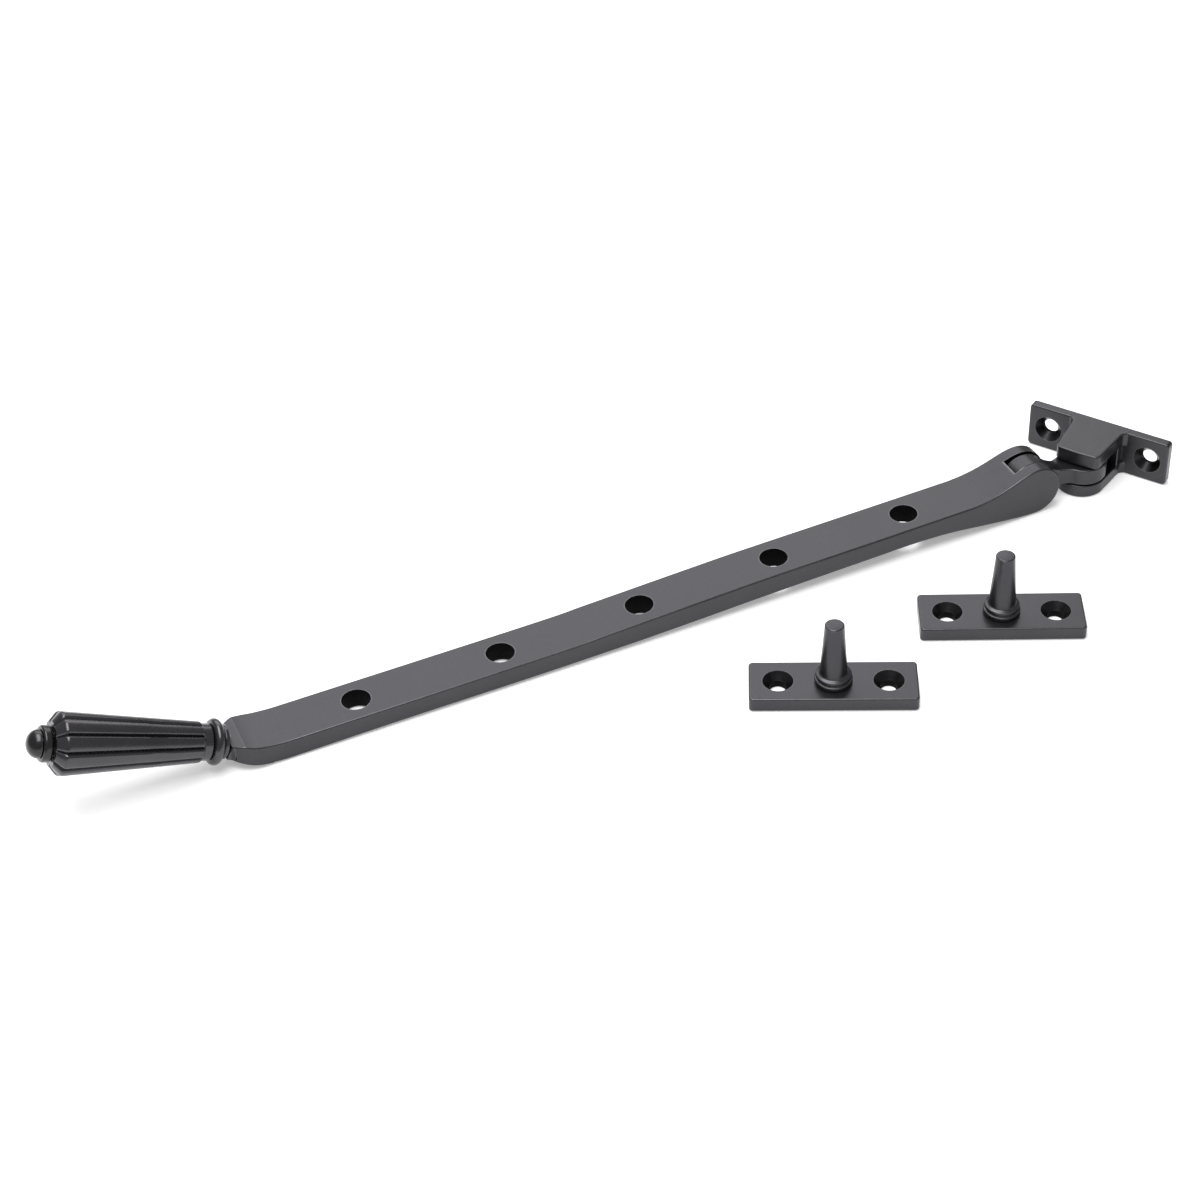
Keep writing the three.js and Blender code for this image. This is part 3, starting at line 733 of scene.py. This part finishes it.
clevis_pin = loose_object(
    "clevis_rivet", shifted(spun(pin_profile(2.6, 2 * RIVET_REACH - 0.2), 48),
                            to_cross @ Matrix.Translation((0, 0, 0.1 - RIVET_REACH))), brushed_bronze)
fit(clevis_pin, Matrix.Translation(clevis_centre), "arm", "clevis_pin")

BRACKET_HEIGHT = 15.7
bracket_pin = loose_object("bracket_rivet", spun(pin_profile(2.5, BRACKET_HEIGHT - 0.7), 48), brushed_bronze)
bracket_foot = Vector((bracket_centre.x, bracket_centre.y, 0))
fit(bracket_pin, Matrix.Translation(bracket_foot), "bracket", "bracket_pin")

# %% [markdown]
# ## The handle
# The handle is a stack of castings drawn together by the tie rod: a ball, a ring, the reeded
# grip and a beaded collar. All but the grip are plain turned shapes. The grip is spun too, but
# its radius changes with the angle: ten rounded reeds with a narrow groove between each pair.
# The grooves also split the front bevel into petals, and die out at the neck.

# %% Spin the ball, the ring and the collar
handle_place = Matrix.Translation(handle_tip) @ handle_turn
BORE = 2.3

BALL_RADIUS = 4.2
BALL_HEIGHT = 3.5
ball_profile = [(0, 0)]
for i in range(1, 21):
    swing = math.pi / 40 * i
    ball_profile.append((BALL_RADIUS * math.sin(swing), BALL_HEIGHT - BALL_HEIGHT * math.cos(swing)))
ball_profile += [(BORE, BALL_HEIGHT), (BORE, 1.7), (0, 1.7)]
ball = loose_object("handle_ball", spun(ball_profile), knob_shaded_bronze)
fit(ball, handle_place, "arm", "end_finial")

ring_profile = rounded_corners([
    (BORE, 3.8, 0), (5.35, 3.8, 0.8), (5.35, 6.5, 0.8), (BORE, 6.5, 0)], count=6)
ring = loose_object("handle_ring", spun(ring_profile, hollow=True), knob_shaded_bronze)
fit(ring, handle_place, "arm", "finial_ring")

BEAD_RADIUS = 1.55
bead_centre = (5.35, 55.25)
bead = arc(bead_centre, BEAD_RADIUS, -math.pi / 2, math.pi / 2, 20)
collar_profile = [(BORE, 53.7)] + bead + rounded_corners([
    (4.3, 57.0, 0.3), (5.1, 57.15, 0.4), (5.1, 58.5, 0.4), (BORE, 58.5, 0)], closed=False, count=4)
collar = loose_object("handle_collar_bead", spun(collar_profile, hollow=True), handle_bronze)
fit(collar, handle_place, "arm", "handle_collar")

# %% Spin the reeded grip
REEDS = 10
STEPS_PER_REED = 18
GROOVE_DEPTH = 0.95
GROOVE_HALF_WIDTH = 0.85
GRIP_RADIUS = 9.4
NECK_RADIUS = 5.6
NECK_START = 50.9

grip_outer = rounded_corners([
    (4.6, 6.8, 0), (6.6, 6.8, 0.3), (GRIP_RADIUS, 9.15, 1.5), (6.15, 50.4, 0.8),
    (5.5, NECK_START, 0.2), (5.5, 53.4, 0.3),
    (4.6, 53.4, 0)], closed=False, count=6)
long_run = max(range(len(grip_outer) - 1), key=lambda k: grip_outer[k + 1][1] - grip_outer[k][1])
first, last = grip_outer[long_run], grip_outer[long_run + 1]
between_ends = [tuple(a + (b - a) * k / 16 for a, b in zip(first, last)) for k in range(1, 16)]
grip_profile = (
    [(BORE, 6.8)] + grip_outer[:long_run + 1] + between_ends + grip_outer[long_run + 1:] + [(BORE, 53.4)])


def reed_depth(angle, k):
    radius, station = grip_profile[k]
    if radius < NECK_RADIUS or station > NECK_START:
        return 0
    # How far round from the middle of its reed a point lies, from 0 to 1 at the groove.
    reed = angle / (2 * math.pi / REEDS)
    off = abs(reed - round(reed)) * 2
    half_reed = math.pi * radius / REEDS
    near = max(0.0, 1 - (1 - off) * half_reed / (GROOVE_HALF_WIDTH * (0.6 + 0.4 * radius / GRIP_RADIUS)))
    fade = min(1.0, (radius - NECK_RADIUS) / 0.5)
    rounding = 0.32 * off ** 2 * radius / GRIP_RADIUS
    return (GROOVE_DEPTH * near ** 1.3 + rounding) * fade


grip = loose_object(
    "handle_reeded_grip", spun(grip_profile, REEDS * STEPS_PER_REED, reed_depth, hollow=True), handle_bronze)
fit(grip, handle_place, "arm", "handle_grip")

# %% [markdown]
# ## The swivel link
# The link turns the pull of the bar through a right angle: an upright tongue hangs on the
# clevis pin and a flat eye lies on the bracket pin. Each half is a slab with soft edges, one
# drawn from the side and one from above, and the two are joined where the neck widens.

# %% Join the tongue and the eye
LINK_LENGTH = 21.6
TONGUE_RADIUS = 8.1
TONGUE_WIDTH = 5.8
EYE_RADIUS = 7.9
eye_low, eye_high = 4.8 - CLEVIS_RADIUS, 10.4 - CLEVIS_RADIUS

leave = math.radians(42)
shoulder_up = (TONGUE_RADIUS * math.cos(leave), TONGUE_RADIUS * math.sin(leave))
neck_end = LINK_LENGTH - EYE_RADIUS + 2
tongue_outline = (
    [(12.4, eye_low), (neck_end, eye_low), (neck_end, eye_high), (12.4, eye_high)]
    + bent([(12.4, eye_high), (9.4, eye_high + 0.4), shoulder_up], 8)
    + arc((0, 0), TONGUE_RADIUS, leave, 2 * math.pi - leave, 56)[1:]
    + bent([(shoulder_up[0], -shoulder_up[1]), (9.4, eye_low - 0.4), (12.4, eye_low)], 8)[:-1])
meet = math.radians(36)
flank = (LINK_LENGTH - EYE_RADIUS * math.cos(meet), EYE_RADIUS * math.sin(meet))
half_tongue = TONGUE_WIDTH / 2
eye_outline = (
    [(9.6, half_tongue), (9.6, -half_tongue)]
    + bent([(9.6, -half_tongue), (13, -half_tongue - 0.2), (flank[0], -flank[1])], 8)
    + arc((LINK_LENGTH, 0), EYE_RADIUS, math.pi + meet, 3 * math.pi - meet, 56)[1:]
    + bent([flank, (13, half_tongue + 0.2), (9.6, half_tongue)], 8)[:-1])

link = loose_object(
    "swivel_link_forged",
    shifted(slab(tongue_outline, -half_tongue, half_tongue, 0.35), to_cross), brushed_bronze)
combine(link, [slab(eye_outline, eye_low, eye_high, 0.45)], "UNION")
combine(link, [
    drill(PIN_BORE, -8, 8, to_cross, 48),
    drill(BRACKET_PIN_BORE, -12, 12, Matrix.Translation((LINK_LENGTH, 0, 0)), 48),
], "DIFFERENCE", hollow_shade_black)
fit(link, Matrix.Translation(clevis_centre), "link", "swivel_link")

# %% [markdown]
# ## The fixing bracket
# The bracket screws to the window: an upright plate with two countersunk holes and a forked
# lug that holds the link's eye. The plate is drawn from the front, and the two lobes of the
# fork and the web behind them from above. Their flanks run out into the plate with a small
# fillet, so that the lug grows from it like one casting.

# %% Build the bracket
BRACKET_TURN = math.radians(180 - 56.9)
BRACKET_LENGTH = 48.6
BRACKET_THICKNESS = 3.3
LUG_REACH = 11.8
LOBE_HALF = 7.5
LOBE_REACH = 17.3
WEB_HALF = 8.6
LOWER_LOBE_RADIUS = 7.9
SCREW_SPACING = 34.7
SCREW_RADIUS = 2.5
SINK_RADIUS = 4.6
SINK_DEPTH = 2.3
CORNER_RADIUS = 1.3


def screw_hole(x, face, matrix=Matrix.Identity(4)):
    """A cutter for the shank's bore, and one for the countersink, which opens at the face."""
    spot = matrix @ Matrix.Translation((x, 0, 0))
    bore = drill(SCREW_RADIUS, -1, face + 1, spot, 48)
    slope = (SINK_RADIUS - SCREW_RADIUS) / SINK_DEPTH
    sink = spun([
        (SCREW_RADIUS, face - SINK_DEPTH), (SINK_RADIUS, face), (SINK_RADIUS + slope, face + 1)], 64)
    return bore, shifted(sink, spot)


def flank_points(side, tip_half, tip_reach):
    run = [(side * tip_half, tip_reach), (side * WEB_HALF, 2.4)]
    run += bent([run[-1], (side * WEB_HALF, 0.4), (side * (WEB_HALF + 2.2), -0.2)], 6)
    run.append((side * (WEB_HALF + 2.2), -2.7))
    return run if side < 0 else run[::-1]


def plate_outline(length, width, radius):
    x, y = length / 2, width / 2
    return rounded_corners([(-x, -y, radius), (x, -y, radius), (x, y, radius), (-x, y, radius)], count=6)


# In plan the outline runs from the plate's right flank round the tip to its left flank.
upper_tip = rounded_corners([
    (LOBE_HALF, 8, 0), (LOBE_HALF, LOBE_REACH - 0.25, 1.9), (0, LOBE_REACH + 0.15, 60),
    (-LOBE_HALF, LOBE_REACH - 0.25, 1.9), (-LOBE_HALF, 8, 0)], closed=False, count=6)[1:-1]
upper_lobe = flank_points(1, LOBE_HALF, LOBE_REACH - 2.2)[:-1] + upper_tip + flank_points(
    -1, LOBE_HALF, LOBE_REACH - 2.2)[1:]
lean = math.radians(6)
lower_tip = arc((0, LUG_REACH), LOWER_LOBE_RADIUS, lean, math.pi - lean, 56)
lower_tip_half = LOWER_LOBE_RADIUS * math.cos(lean)
lower_tip_reach = LUG_REACH + LOWER_LOBE_RADIUS * math.sin(lean)
lower_lobe = flank_points(1, lower_tip_half, lower_tip_reach)[:-1] + lower_tip + flank_points(
    -1, lower_tip_half, lower_tip_reach)[1:]

upright = Matrix.Rotation(-math.pi / 2, 4, "X")
stand_up = Matrix.Translation((0, -BRACKET_THICKNESS, BRACKET_HEIGHT / 2)) @ upright
back_plate = slab(
    plate_outline(BRACKET_LENGTH, BRACKET_HEIGHT, CORNER_RADIUS), 0, BRACKET_THICKNESS, 0.5)
bracket = loose_object("fixing_bracket_cast", shifted(back_plate, stand_up), brushed_bronze)
combine(bracket, [
    slab(plate_outline(2 * WEB_HALF, 6.2, 0.5), 0.4, BRACKET_HEIGHT - 0.4, 0.3),
    slab(lower_lobe, 0, 4.2, 0.4),
    slab(upper_lobe, 10.8, BRACKET_HEIGHT, 0.55),
], "UNION")
for side in (-1, 1):
    bore, sink = screw_hole(side * SCREW_SPACING / 2, BRACKET_THICKNESS, stand_up)
    # The countersink takes the darker copy, painted shade.
    combine(bracket, [sink], "DIFFERENCE", recess_shade_bronze)
    combine(bracket, [bore], "DIFFERENCE", hollow_shade_black)
pin_spot = Matrix.Translation((0, LUG_REACH, 0))
combine(
    bracket, [drill(BRACKET_PIN_BORE, -2, BRACKET_HEIGHT - 0.5, pin_spot, 48)], "DIFFERENCE", hollow_shade_black)
away = Vector((math.sin(BRACKET_TURN), -math.cos(BRACKET_TURN), 0)) * LUG_REACH * MM
bracket_place = Matrix.Translation(bracket_foot + away) @ Matrix.Rotation(BRACKET_TURN, 4, "Z")
fit(bracket, bracket_place, "bracket", "fixing_bracket")

# %% [markdown]
# ## Pin plates and studs
# Each pin plate is screwed to the sill, and its stud goes through a peg hole to hold the
# window. The plate is one slab with two countersunk screw holes and a hole for the stud's
# riveted tail. The stud is turned: a tail, a collar with a groove, and a tapered peg.

# %% Build the two pin plates with their studs
PLATE_LENGTH = 50
PLATE_WIDTH = 17
PLATE_THICKNESS = 4.5
PLATE_SCREW_SPACING = 32.7
STUD_HEIGHT = 26
stud_profile = rounded_corners([
    (0, 0, 0), (3, 0, 0.2), (3, 4.6, 0), (5.65, 4.6, 0.3), (5.65, 6.0, 0.35), (5.0, 6.2, 0.15),
    (5.0, 6.5, 0.15), (5.35, 6.7, 0.3), (5.35, 7.7, 0.35), (4.15, 8.1, 0.5),
    (2.9, STUD_HEIGHT - 0.25, 0), (2.9, STUD_HEIGHT, 0.45), (0, STUD_HEIGHT, 0)], closed=False, count=4)

for letter, yaw in (("a", -26.4), ("b", -26.0)):
    stud_centre = middle("pin_stud_" + letter)
    place = Matrix.Translation((stud_centre.x, stud_centre.y, 0)) @ Matrix.Rotation(math.radians(yaw), 4, "Z")
    flat = slab(plate_outline(PLATE_LENGTH, PLATE_WIDTH, CORNER_RADIUS), 0, PLATE_THICKNESS, 0.5)
    plate = loose_object(f"sill_plate_{letter}", flat, brushed_bronze)
    for side in (-1, 1):
        bore, sink = screw_hole(side * PLATE_SCREW_SPACING / 2, PLATE_THICKNESS)
        # The countersink takes the darker copy, painted shade.
        combine(plate, [sink], "DIFFERENCE", recess_shade_bronze)
        combine(plate, [bore], "DIFFERENCE", hollow_shade_black)
    combine(plate, [drill(3.3, -1, 6)], "DIFFERENCE", hollow_shade_black)
    fit(plate, place, f"plate_{letter}", f"pin_plate_{letter}")
    stud = loose_object(f"sill_stud_{letter}", spun(stud_profile, 64), brushed_bronze)
    fit(stud, place, f"plate_{letter}", f"pin_stud_{letter}")
